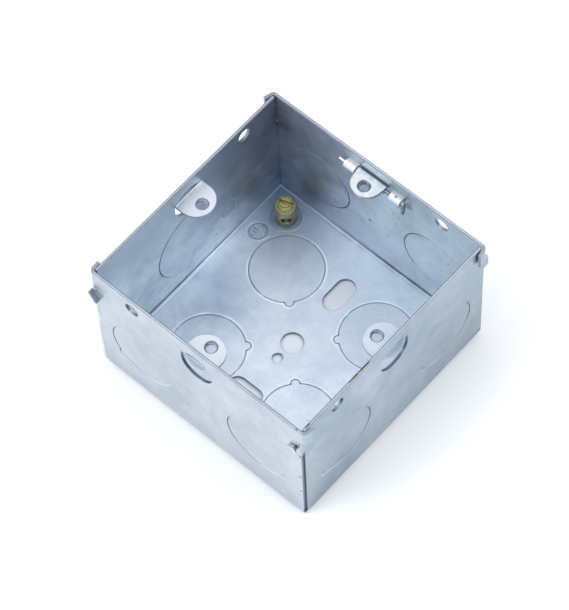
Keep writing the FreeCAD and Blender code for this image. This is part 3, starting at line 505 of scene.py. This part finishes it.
def bends(sheet):
    """Painted shade, patchy, at the far walls' feet, and painted highlights along the bends.

    Returns all bends, the part of them with the painted highlight, and the part that stands up from the back
    in the far corner.
    """
    x, y, z = sheet.x, sheet.y, sheet.z
    foot = sheet.between(z, SHEET + 0.0002, SHEET + 0.0012, 0.0004)
    near_plus_y = sheet.both(sheet.above(y, INNER - 0.0006, INNER - THIN),
                             sheet.ramp(x, -0.018, 0.004, 0.15, 0.8))
    near_minus_x = sheet.both(sheet.below(x, THIN - INNER, 0.0006 - INNER),
                              sheet.between(y, -0.022, 0.012, 0.008), 0.7)
    patchy_shade = sheet.ramp(sheet.noise(160, 3.0, 0.6), 0.35, 0.6, 0.55, 1.0)
    sheet.paint(SHADE, foot, sheet.either(near_plus_y, near_minus_x), patchy_shade)

    towards_wall = sheet.either(sheet.size(x), y)
    flat = sheet.both(sheet.between(z, SHEET - THIN, SHEET + 3 * THIN, THIN),
                      sheet.between(towards_wall, INNER - 0.0008, INNER - 0.0006, THIN),
                      sheet.outside(sheet.ball(N_FOOT, 0.024, 0.012)))
    standing = sheet.both(sheet.between(z, SHEET + 0.00004, SHEET + 0.0005, 0.00004),
                          sheet.above(towards_wall, INNER - 0.0007, INNER - 0.0006),
                          sheet.ball(N_FOOT, 0.030, 0.010))
    bend = sheet.either(flat, standing)
    lit = sheet.either(sheet.below(y, INNER - 0.002, INNER - 0.001),
                       sheet.ramp(x, -0.018, 0.0, 1.0, 0.25))
    lit_bend = sheet.both(bend, lit)
    sheet.paint(PAINTED_LIGHT, lit_bend, 0.9)
    return bend, lit_bend, standing


def rim(sheet):
    """The rim's duller top with a line of painted shade on each edge, and brown dirt on the +X wall's inner
    edge.
    """
    x, y, z = sheet.x, sheet.y, sheet.z
    on_rim = sheet.above(z, DEPTH - 0.00012, DEPTH - 0.00004)
    sheet.paint(RIM, on_rim, sheet.pick(sheet.minus_x_wall, 0.4, 0.7))
    outermost = sheet.either(sheet.size(x), sheet.size(y))
    inner_line = sheet.between(outermost, INNER - THIN, INNER + 0.00022, THIN)
    outer_line = sheet.both(sheet.above(outermost, HALF - 0.00036, HALF - 0.00026), 0.6)
    sheet.paint(SHADE, on_rim, sheet.either(inner_line, outer_line), 0.8)
    inner_edge = sheet.both(sheet.above(z, DEPTH - 3 * THIN, DEPTH - THIN),
                            sheet.between(x, INNER - THIN, INNER + 0.00042, THIN))
    dirty = sheet.either(sheet.between(y, -0.0165, -0.0095, 0.001),
                         sheet.between(y, -0.0335, -0.0325, 0.0006))
    sheet.paint(GRIME, inner_edge, dirty, sheet.above(sheet.noise(500, 3.0), 0.32, 0.46))


def dots(sheet):
    for centre, radius in DOTS:
        sheet.paint(SHADE, sheet.ball(centre, radius, radius), 0.85)


def shadows_by_slider(sheet):
    """Painted shadow on the +Y wall just above the sliding lug's back edge, and the painted shadow of the
    wire's bent leg.
    """
    gap_shadow = sheet.both(sheet.between(sheet.x, -0.0050, 0.0042, 0.0006),
                      sheet.between(sheet.z, 0.0428, 0.0437, 0.0006))
    by_leg = sheet.either(sheet.ball((0.0109, INNER, 0.0402), 0.0008, 0.0012),
                          sheet.ball((0.0083, INNER, 0.0368), 0.0004, 0.0010))
    sheet.paint(SHADE, sheet.either(gap_shadow, by_leg), sheet.plus_y_inside, 0.7)


def fixed_lugs(sheet, lug_roots):
    """The three lugs, duller than the walls and paler, partly for their finish and partly as painted light,
    less pale on the +X lug as painted shade, with painted shade on the hole walls. Returns the lugs' mask.
    """
    x, y, z = sheet.x, sheet.y, sheet.z
    lugs = sheet.both(sheet.between(z, LUG_TOP - 0.0011, LUG_TOP + 2 * THIN, THIN),
                      sheet.either(sheet.inside, lug_roots))
    sheet.paint(LUG_FINISH_AND_LIGHT, lugs, sheet.ramp(x, 0.0, 0.02, 0.75, 0.4))
    hole_walls = []
    for first, second in ((sheet.size(x), y), (sheet.size(y), x)):
        from_axis = sheet.distance(first, second, (LUG_HOLE_ALONG, 0.0))
        hole_walls.append(sheet.line(from_axis, LUG_HOLE_RADIUS + THIN, 3 * THIN))
    in_hole = sheet.between(z, LUG_TOP - 0.0020, LUG_TOP - 0.00015, THIN)
    sheet.paint(SHADE, sheet.either(*hole_walls), in_hole, 0.7)
    return lugs


def wire_loops(sheet):
    """The two loops that hold the wire, painted pale as a highlight on their round crowns, with a dot on one
    of them. Returns their mask.
    """
    loops = sheet.both(sheet.between(sheet.size(sheet.x), *LOOP_ENDS),
                       sheet.above(sheet.y, 0.0322, 0.0324), sheet.below(sheet.y, 0.0349, 0.0350),
                       sheet.between(sheet.z, LOOP_HEIGHT - 0.0016, LOOP_HEIGHT + 0.0016))
    sheet.paint(LOOP_HIGHLIGHT, loops)
    sheet.paint(SHADE, sheet.ball((0.0078, 0.0338, 0.0435), 0.0003, 0.0002), 0.8)
    return loops


def corners(sheet):
    """Painted light where it shows through the N corner's seam, painted shade in the S seam and on the W
    tongue.
    """
    x, y, z = sheet.x, sheet.y, sheet.z
    for height in (0.0423, 0.0350):
        sheet.paint(PAINTED_LIGHT, sheet.ball((-INNER, INNER, height), 0.00022, 0.0002))
    seam = sheet.both(sheet.above(x, 0.0352, 0.0353), sheet.between(y, -0.03590, -0.03493, 0.00005),
                      sheet.below(z, 0.0362, 0.0366))
    sheet.paint(SHADE, seam, 0.8)
    tongue = sheet.both(sheet.below(y, -0.0363, -0.0362), sheet.below(x, -0.03, -0.02))
    sheet.paint(TONGUE_SHADE, tongue, 0.55)


def terminal_seat(sheet):
    """Painted light on the raised seat's slope, with a painted highlight in an arc on its right. Returns the
    arc.
    """
    from_edge = sheet.minus(sheet.distance(sheet.x, sheet.y, TERMINAL), BOSS_RADIUS - 2 * THIN)
    slope = sheet.both(sheet.between(sheet.z, SHEET + 0.00002, SHEET + 0.00048, 0.00002),
                       sheet.line(from_edge, 0.0, 0.0007))
    sheet.paint(PAINTED_LIGHT, slope, 0.2)
    arc = sheet.both(sheet.line(from_edge, 0.0002, 0.00032), sheet.between(sheet.z, 0.0, 0.002),
                     far_side(sheet, sheet.x, sheet.y, ((TERMINAL, BOSS_RADIUS),), 12))
    sheet.paint(PAINTED_LIGHT, arc, 0.9)
    return arc


def soft_edges(sheet, quiet):
    """Softened edges with a faint painted highlight, but painted shade on the edges at some of the tabs."""
    fine = sheet.noise(3200, 2.0, 0.5)
    coarse = sheet.noise(260, 4.0, 0.6)
    relief = sheet.plus(sheet.both(fine, 0.5), sheet.both(coarse, 1.2))
    edges = sheet.rounded(0.00014, relief, 0.000010, quiet)
    by_tabs = sheet.either(*[sheet.ball(corner, 0.0028, 0.0006) for corner in TABS])
    sheet.paint(PAINTED_LIGHT, edges, sheet.pick(by_tabs, 0.16, 0.0))
    sheet.paint(SHADE, edges, by_tabs, 0.7)


def box_sheet():
    """The box's zinc-coated sheet, with specks of dust, and painted light and shade: its dark cut edges, pale
    bends and darker far corner.
    """
    sheet = BoxSheet()
    clouds, grains = zinc_tone(sheet)
    tint_back(sheet)
    paint_wall_light(sheet)
    cloud_far_walls(sheet)
    dust_and_corner_shade(sheet)
    pale_lines, by_lines = knockout_lines(sheet)
    pale_marks = draw_marks(sheet)
    lug_roots = cut_edges(sheet)
    bend, lit_bend, standing_bend = bends(sheet)
    rim(sheet)
    dots(sheet)
    shadows_by_slider(sheet)
    lugs = fixed_lugs(sheet, lug_roots)
    loops = wire_loops(sheet)
    corners(sheet)
    seat_arc = terminal_seat(sheet)
    soft_edges(sheet, sheet.either(by_lines, bend))
    roughness = sheet.plus(sheet.ramp(clouds, 0.3, 0.7, 0.44, 0.36),
                           sheet.ramp(grains, 0, 1, -0.03, 0.03),
                           sheet.both(sheet.either(loops, lugs), 0.2))
    shining = sheet.either(pale_lines, pale_marks, seat_arc, lit_bend)
    dull = sheet.either(loops, standing_bend)
    metallic = sheet.plus(sheet.pick(dull, 0.75, 0.25), sheet.both(shining, 0.25))
    return sheet.finish(roughness, metallic)


# The sliding lug, its wire and the brass terminal
def darker(colour, share):
    return tuple(channel * share for channel in colour[:3]) + (1,)


def plated(name, colour, roughness, dark_part, dark_share):
    """Smooth plated metal with a trace of wear. The part that gets painted shade is a function of the shader.
    """
    shader = Shader(name)
    wear = shader.noise(600, 3.0, 0.6)
    shader.colour = shader.mix(shader.ramp(wear, 0.35, 0.7), colour, darker(colour, 0.8))
    shader.paint(SHADE, dark_part(shader), dark_share)
    shader.rounded(0.0001, shader.noise(2600, 2.0, 0.5), 0.000006)
    return shader.finish(shader.ramp(wear, 0.3, 0.7, roughness, roughness + 0.12))


def slider_hole_edge(shader):
    """The edge of the sliding lug's hole, which gets painted shade."""
    away = shader.minus(shader.distance(shader.x, shader.y, SLIDER_HOLE), LUG_HOLE_RADIUS)
    return shader.line(away, 0.0, 0.0004)


def shaded_wire(shader):
    """The wire's part between the sliding lug and the loop beside it, which gets painted shade."""
    return shader.between(shader.x, SLIDER_HOLE[0] + 0.0047, LOOP_ENDS[0], 0.0003)


def faces_up(shader):
    """A mask for faces that look upwards."""
    parts = shader.node("ShaderNodeSeparateXYZ")
    shader.link(shader.node("ShaderNodeNewGeometry").outputs["Normal"], parts.inputs["Vector"])
    return shader.above(parts.outputs["Z"], 0.8, 0.95)


def terminal_ring(shader, radius, width):
    """A ring about the terminal's axis."""
    away = shader.minus(shader.distance(shader.x, shader.y, TERMINAL), radius)
    return shader.line(away, 0.0, width)


def beside_driver_slot(shader):
    """Painted shade along both edges of the screwdriver slot."""
    to_right = shader.both(shader.minus(shader.x, TERMINAL[0]), -math.sin(DRIVER_SLOT_TURN))
    to_back = shader.both(shader.minus(shader.y, TERMINAL[1]), math.cos(DRIVER_SLOT_TURN))
    across = shader.size(shader.plus(to_right, to_back))
    return shader.between(across, 0.00040, 0.00058, 0.00006)


def brass(name, side_colour, lit_colour, top, rings, with_slot):
    """Turned brass, olive round its sides, with fine turning lines; its upward faces are painted pale as
    painted light, and its sides darker low down as painted shade.
    """
    shader = Shader(name)
    wear = shader.noise(700, 3.0, 0.6)
    up = faces_up(shader)
    height = shader.above(shader.z, top - 0.0068, top - 0.0020)
    side = shader.mix(height, darker(side_colour, 0.55), side_colour)
    shader.colour = shader.mix(up, side, lit_colour)
    shader.paint(darker(side_colour, 0.5), shader.ramp(wear, 0.5, 0.7, 0.0, 0.35))
    for radius, width, share in rings:
        shader.paint(darker(side_colour, 0.22), terminal_ring(shader, radius, width), share)
    if with_slot:
        shader.paint(darker(side_colour, 0.22), beside_driver_slot(shader), 0.7)
    turning = shader.calculate("SINE", shader.calculate("MULTIPLY", shader.z, math.tau / 0.0005))
    relief = shader.plus(shader.both(turning, 0.5), shader.noise(2600, 2.0, 0.5))
    shader.rounded(0.0001, relief, 0.00002)
    return shader.finish(shader.pick(up, 0.26, 0.34), shader.pick(up, 0.9, 0.1))


def dress(name, material):
    piece = nodes[name]
    piece.data.materials.clear()
    piece.data.materials.append(material)


sheet_metal = box_sheet()
lug_metal = plated("lug_plate", LUG_PLATE, 0.40, slider_hole_edge, 0.75)
wire_metal = plated("steel_wire", STEEL_WIRE, 0.22, shaded_wire, 0.95)
# The pillar's dark ring is painted shade round the foot of the screw head.
pillar_rings = ((0.0023, 0.0003, 0.7),)
pillar_metal = brass("terminal_brass", PILLAR_SIDE, PILLAR_LIT_FACE, PILLAR_TOP, pillar_rings, with_slot=False)
screw_rings = ((0.0017, 0.0003, 0.8), (0.0009, 0.0002, 0.4))
screw_metal = brass("screw_brass", SCREW_SIDE, SCREW_LIT_FACE, SCREW_TOP, screw_rings, with_slot=True)
dress("box_body", sheet_metal)
dress("adjustable_lug", lug_metal)
dress("lug_rod", wire_metal)
dress("earth_terminal_pillar", pillar_metal)
dress("earth_terminal_screw", screw_metal)


# Small pieces that the solids don't carry
def add_piece(name, material, body, slot, maker, *details):
    """Adds a piece whose mesh the maker builds from its details."""
    mesh = bpy.data.meshes.new(name)
    shape = bmesh.new()
    maker(shape, *details)
    bmesh.ops.recalc_face_normals(shape, faces=shape.faces)
    shape.to_mesh(mesh)
    shape.free()
    piece = bpy.data.objects.new(name, mesh)
    bpy.context.scene.collection.objects.link(piece)
    mesh.materials.append(material)
    mesh.polygons.foreach_set("use_smooth", [True] * len(mesh.polygons))
    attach(piece, body)
    return piece


def swept(shape, rings, closed):
    """Joins rings of points into a skin. A sweep that isn't closed gets an end face at each end."""
    made = [[shape.verts.new(point) for point in ring] for ring in rings]
    count = len(made[0])
    pairs = list(zip(made, made[1:]))
    if closed:
        pairs.append((made[-1], made[0]))
    for first, second in pairs:
        for index in range(count):
            after = (index + 1) % count
            shape.faces.new((first[index], first[after], second[after], second[index]))
    if not closed:
        shape.faces.new(made[0])
        shape.faces.new(made[-1])


# Threads in the lugs' holes
def thread(shape, centre, base, top):
    """A thread's ridge on the wall of a hole, from base to top."""
    foot = LUG_HOLE_RADIUS + 0.00003
    crest = LUG_HOLE_RADIUS - THREAD_DEPTH
    section = ((foot, -0.42), (crest, -0.08), (crest, 0.08), (foot, 0.42))
    turns = (top - base) / THREAD_PITCH
    rings = []
    for index in range(int(turns * THREAD_STEPS) + 1):
        angle = math.tau * index / THREAD_STEPS
        height = base + THREAD_PITCH * index / THREAD_STEPS
        rings.append([Vector((centre[0] + out * math.cos(angle),
                              centre[1] + out * math.sin(angle),
                              height + THREAD_PITCH * rise)) for out, rise in section])
    swept(shape, rings, False)


for label, hole in (("minus_x", (-LUG_HOLE_ALONG, 0.0)), ("plus_x", (LUG_HOLE_ALONG, 0.0)),
                    ("minus_y", (0.0, -LUG_HOLE_ALONG))):
    add_piece(f"lug_thread_{label}", sheet_metal, "box", "box_sheet",
              thread, hole, LUG_TOP - 0.0014, LUG_TOP - 0.0005)
add_piece("sliding_lug_thread", lug_metal, "sliding_lug", "lug_plate", thread, SLIDER_HOLE, *SLIDER_THREAD)


# The metal that still joins a knockout to its wall, at the bottom of the sheared line
def outline_reach(discs, angle):
    """How far the joined discs reach from the middle of the first one, at the angle."""
    (middle, radius), (notch, notch_radius) = discs
    to_notch = math.atan2(notch[1] - middle[1], notch[0] - middle[0])
    off = angle - to_notch
    across = radius * math.sin(off)
    if math.cos(off) > 0 and abs(across) < notch_radius:
        return max(radius, radius * math.cos(off) + math.sqrt(notch_radius ** 2 - across ** 2))
    return radius


def edge_ring(shape, discs, to_space, depth_at):
    """A narrow strip along a knockout's outline, its seen face at the depth worked out for each angle."""
    middle = discs[0][0]
    bottom = SHEET - 2 * THIN
    rings = []
    for index in range(SHEAR_STEPS):
        angle = math.tau * index / SHEAR_STEPS
        reach = outline_reach(discs, angle)
        depth = depth_at(angle)
        section = ((-SHEAR_HALF, depth), (SHEAR_HALF, depth), (SHEAR_HALF, bottom), (-SHEAR_HALF, bottom))
        rings.append([to_space(middle[0] + (reach + out) * math.cos(angle),
                               middle[1] + (reach + out) * math.sin(angle), down) for out, down in section])
    swept(shape, rings, True)


def even_depth(angle):
    return 0.00007


def leaning_depth(strongest, least=0.000005, most=0.0005):
    """Makes a depth that is greatest at the strongest angle and almost nothing on the other side."""
    return lambda angle: least + (most - least) * max(0.0, math.cos(angle - strongest)) ** 3


def on_quarter(side_x, side_y):
    """Places points on the back's inner face, in the quarter that the two signs name."""
    return lambda along, across, down: Vector((along * side_x, across * side_y, SHEET - down))


def on_minus_y_wall(along, height, down):
    return Vector((along, down - HALF, height))


def on_plus_x_wall(along, height, down):
    return Vector((HALF - down, along, height))


def on_plus_y_wall(along, height, down):
    return Vector((along, INNER + down, height))


def on_minus_x_wall(along, height, down):
    return Vector((-INNER - down, along, height))


SIDES = (("low", -1), ("high", 1))
for name_x, side_x in SIDES:
    for name_y, side_y in SIDES:
        add_piece(f"back_edge_{name_x}_{name_y}", sheet_metal, "box", "box_sheet",
                  edge_ring, BACK_KNOCKOUT, on_quarter(side_x, side_y), even_depth)

for label, discs, to_space, strongest in (("minus_y_left", LEFT_KNOCKOUT, on_minus_y_wall, 218),
                                          ("minus_y_right", RIGHT_KNOCKOUT, on_minus_y_wall, 218),
                                          ("plus_x_left", LEFT_KNOCKOUT, on_plus_x_wall, -35),
                                          ("plus_x_right", ODD_KNOCKOUT, on_plus_x_wall, -35),
                                          ("plus_y_left", LEFT_KNOCKOUT, on_plus_y_wall, 0),
                                          ("plus_y_right", RIGHT_KNOCKOUT, on_plus_y_wall, 165),
                                          ("minus_x", LARGE_KNOCKOUT, on_minus_x_wall, 160)):
    add_piece(f"wall_edge_{label}", sheet_metal, "box", "box_sheet",
              edge_ring, discs, to_space, leaning_depth(math.radians(strongest)))


# The stamped mark beside the terminal
def raised_ring(shape, centre, radius, width):
    """A low ring with a flat top on the back."""
    section = ((-0.5, MARK_FOOT), (-0.3, MARK_TOP), (0.3, MARK_TOP), (0.5, MARK_FOOT))
    rings = []
    for index in range(RING_STEPS):
        angle = math.tau * index / RING_STEPS
        rings.append([Vector((centre[0] + (radius + width * out) * math.cos(angle),
                              centre[1] + (radius + width * out) * math.sin(angle),
                              height)) for out, height in section])
    swept(shape, rings, True)


def raised_bar(shape, start, end):
    """A low bar with sloping ends on the back, between two points."""
    start = Vector(start)
    end = Vector(end)
    along = (end - start).normalized()
    across = Vector((-along.y, along.x))
    slope = along * MARK_LINE * 0.3
    sunk = MARK_FOOT - 0.00002
    rings = []
    for point, top in ((start, MARK_FOOT), (start + slope, MARK_TOP),
                       (end - slope, MARK_TOP), (end, MARK_FOOT)):
        section = ((-0.5, sunk), (-0.3, top), (0.3, top), (0.5, sunk))
        rings.append([Vector((*(point + across * MARK_LINE * out), height)) for out, height in section])
    swept(shape, rings, False)


def earth_symbol(shape):
    """The plain earth symbol: a stem and three shortening bars inside a ring."""
    x, y = MARK
    raised_ring(shape, MARK, MARK_RADIUS, 0.0006)
    raised_bar(shape, (x, y + 0.0002), (x, y + 0.0024))
    for half, drop in ((0.0021, 0.0002), (0.0014, -0.0008), (0.0007, -0.0018)):
        raised_bar(shape, (x - half, y + drop), (x + half, y + drop))


add_piece("earth_symbol", sheet_metal, "box", "box_sheet", earth_symbol)


# White paper under the box, shaded where the box keeps the light off it
bpy.ops.mesh.primitive_plane_add(size=4.0, location=(0, 0, -0.0002))
floor = bpy.context.object
floor.name = "floor"
paper = Shader("floor_paper")
paper.place = paper.node("ShaderNodeNewGeometry").outputs["Position"]
paper.colour = (0.985, 0.985, 0.985, 1)
paper.paint((0.80, 0.83, 0.88, 1), paper.ball((0, 0, 0), 0.030, 0.004))
floor.data.materials.append(paper.finish(0.9, 0.0))


# Light
def add_area(name, place, target, size, power):
    data = bpy.data.lights.new(name, "AREA")
    data.shape = "RECTANGLE"
    data.size, data.size_y = size
    data.energy = power
    lamp = bpy.data.objects.new(name, data)
    bpy.context.scene.collection.objects.link(lamp)
    lamp.location = place
    lamp.rotation_mode = "QUATERNION"
    lamp.rotation_quaternion = (Vector(target) - Vector(place)).to_track_quat("-Z", "Y")


world = bpy.data.worlds.new("studio")
bpy.context.scene.world = world
world.use_nodes = True
world.node_tree.nodes["Background"].inputs["Color"].default_value = (0.86, 0.93, 1.0, 1)
world.node_tree.nodes["Background"].inputs["Strength"].default_value = 0.48
# What the box's faces mirror lies high over its four corners. A light stands over each but the camera's.
add_area("left_light", (-0.54, -0.57, 1.28), (0, 0, 0), (0.9, 0.9), 8.0)
add_area("right_light", (0.54, 0.57, 1.28), (0, 0, 0), (0.9, 0.9), 8.3)
add_area("back_light", (-0.45, 0.48, 1.35), (0, 0, 0), (1.9, 1.9), 8.0)
add_area("low_card", (-0.2, -0.8, 0.3), (0, 0, 0.02), (1.0, 0.4), 4.0)

# Camera, fitted to the photograph's corners and lug holes
camera_data = bpy.data.cameras.new("camera")
camera_data.sensor_width = 36.0
camera_data.lens = 202.35
camera_data.clip_start = 0.05
camera = bpy.data.objects.new("camera", camera_data)
bpy.context.scene.collection.objects.link(camera)
camera.location = (0.300451, -0.313969, 0.817603)
camera.rotation_mode = "QUATERNION"
camera.rotation_quaternion = Quaternion((0.907849, 0.226933, 0.098675, 0.338489))
bpy.context.scene.camera = camera
bpy.context.scene.view_settings.view_transform = "Standard"
bpy.context.scene.view_settings.look = "None"
